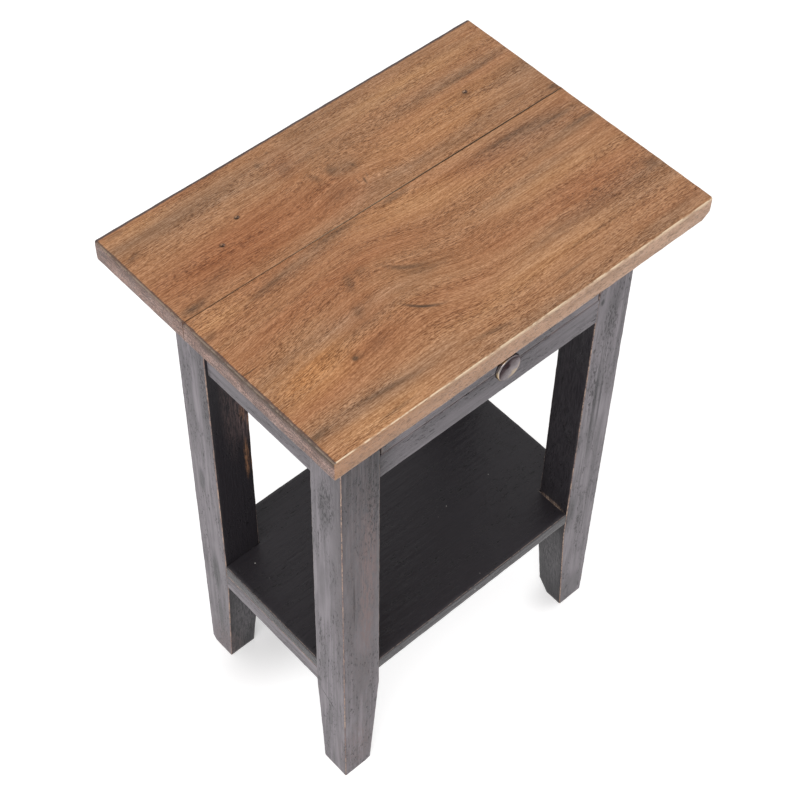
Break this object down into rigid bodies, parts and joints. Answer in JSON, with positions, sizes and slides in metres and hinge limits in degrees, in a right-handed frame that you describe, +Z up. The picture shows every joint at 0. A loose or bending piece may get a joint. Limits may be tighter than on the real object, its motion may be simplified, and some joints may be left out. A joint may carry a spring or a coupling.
{
  "type": "telephone table",
  "caption": "Small rectangular wooden side table with an overhanging plank top, black-painted tapered legs, a knobbed drawer and a low open shelf.",
  "frame": {"origin": "on the floor, under the middle of the table top", "axes": "+X along the front from left to right, +Y from the drawer side to the back, +Z up"},
  "size_m": [0.48, 0.345, 0.7035],
  "materials": {
    "brown_wood": "worn brown hardwood with a dull wax finish",
    "black_paint": "worn black paint on wood, rubbed through at the edges",
    "bare_wood": "bare planed softwood",
    "screw_steel": "dull steel",
    "aged_brass": "turned brass, darkened, bright at the rim"
  },
  "bodies": {
    "table": {"top_front_board": "brown_wood", "top_back_board": "brown_wood", "top_dowel_1": "bare_wood", "top_dowel_2": "bare_wood", "top_dowel_3": "bare_wood", "leg_front_left": "black_paint", "leg_front_right": "black_paint", "leg_back_left": "black_paint", "leg_back_right": "black_paint", "side_apron_left": "black_paint", "side_apron_right": "black_paint", "back_apron": "black_paint", "front_upper_rail": "black_paint", "front_lower_rail": "black_paint", "side_stretcher_left": "black_paint", "side_stretcher_right": "black_paint", "shelf_board": "black_paint", "drawer_runner_left": "bare_wood", "drawer_runner_right": "bare_wood", "drawer_guide_left": "bare_wood", "drawer_guide_right": "bare_wood", "drawer_kicker_left": "bare_wood", "drawer_kicker_right": "bare_wood", "drawer_stop_left": "bare_wood", "drawer_stop_right": "bare_wood", "top_screw_front_left": "screw_steel", "top_screw_front_right": "screw_steel", "top_screw_back_left": "screw_steel", "top_screw_back_right": "screw_steel", "runner_screw_front_left": "screw_steel", "runner_screw_front_right": "screw_steel", "runner_screw_back_left": "screw_steel", "runner_screw_back_right": "screw_steel", "shelf_screw_front_left": "screw_steel", "shelf_screw_front_right": "screw_steel", "shelf_screw_back_left": "screw_steel", "shelf_screw_back_right": "screw_steel"},
    "drawer": {"drawer_front": "black_paint", "drawer_side_left": "bare_wood", "drawer_side_right": "bare_wood", "drawer_back": "bare_wood", "drawer_bottom": "bare_wood", "drawer_bottom_nail_1": "screw_steel", "drawer_bottom_nail_2": "screw_steel", "drawer_bottom_nail_3": "screw_steel", "drawer_knob": "aged_brass", "knob_screw": "screw_steel"}
  },
  "joints": [
    {"name": "drawer_slide", "type": "slide", "parent": "table", "child": "drawer", "axis": [0, -1, 0], "range_m": [0, 0.15]}
  ]
}
